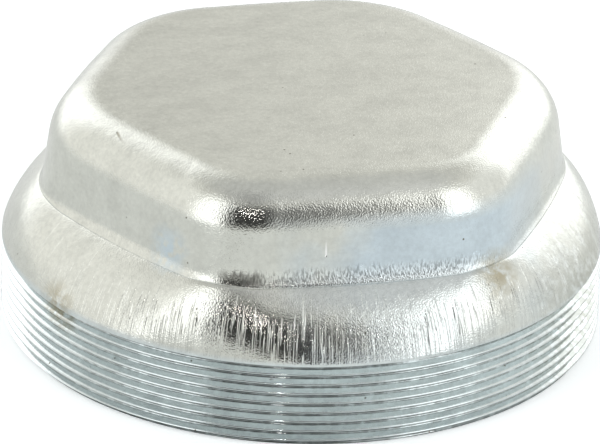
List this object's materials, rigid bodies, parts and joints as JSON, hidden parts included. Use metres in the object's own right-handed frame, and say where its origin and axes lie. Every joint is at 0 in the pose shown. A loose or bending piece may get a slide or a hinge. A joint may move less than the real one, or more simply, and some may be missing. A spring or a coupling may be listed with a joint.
{
  "type": "screw-on hub cap",
  "caption": "Hollow sheet-steel hub cap with a round threaded skirt, a curved shoulder and a flat-topped hexagonal crown for a spanner. Screws into a wheel hub to close its bearing.",
  "frame": {"origin": "centre of the rim's flat face, on the thread's axis", "axes": "+Z along the thread's axis from the rim to the crown; two flats of the hexagon face -Y and +Y"},
  "size_m": [0.09, 0.09, 0.0372],
  "materials": {
    "zinc_plated_steel": "bright zinc plate with a clear blue passivation, fine grain and draw marks"
  },
  "bodies": {
    "root": {"hub_cap": "zinc_plated_steel"}
  },
  "joints": []
}
